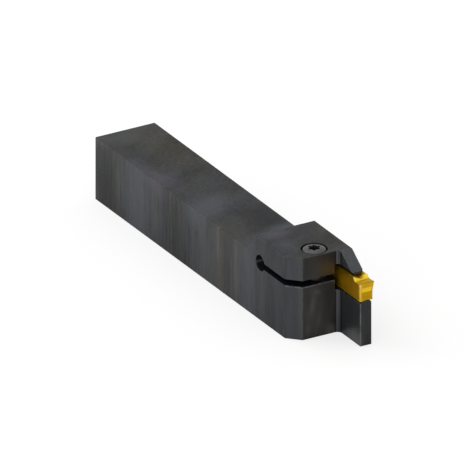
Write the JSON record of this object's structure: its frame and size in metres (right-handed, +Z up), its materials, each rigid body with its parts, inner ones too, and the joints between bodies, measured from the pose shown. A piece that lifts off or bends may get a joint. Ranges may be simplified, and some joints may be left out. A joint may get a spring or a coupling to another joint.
{
  "type": "grooving tool holder",
  "caption": "Square-shank turning tool holder whose slotted head clamps a double-ended grooving insert on a thin blade with a six-lobe cap screw.",
  "frame": {"origin": "on the underside of the shank, on its centreline, at the rear end", "axes": "+X along the shank towards the cutting edge, +Y towards the side that carries the blade, +Z up"},
  "size_m": [0.1276, 0.0206, 0.0267],
  "materials": {
    "blackened_steel": "satin black oxide",
    "screw_steel": "satin black oxide, lighter",
    "coated_carbide": "satin gold coating"
  },
  "bodies": {
    "root": {"holder": "blackened_steel", "clamp_screw": "screw_steel", "insert": "coated_carbide"}
  },
  "joints": []
}
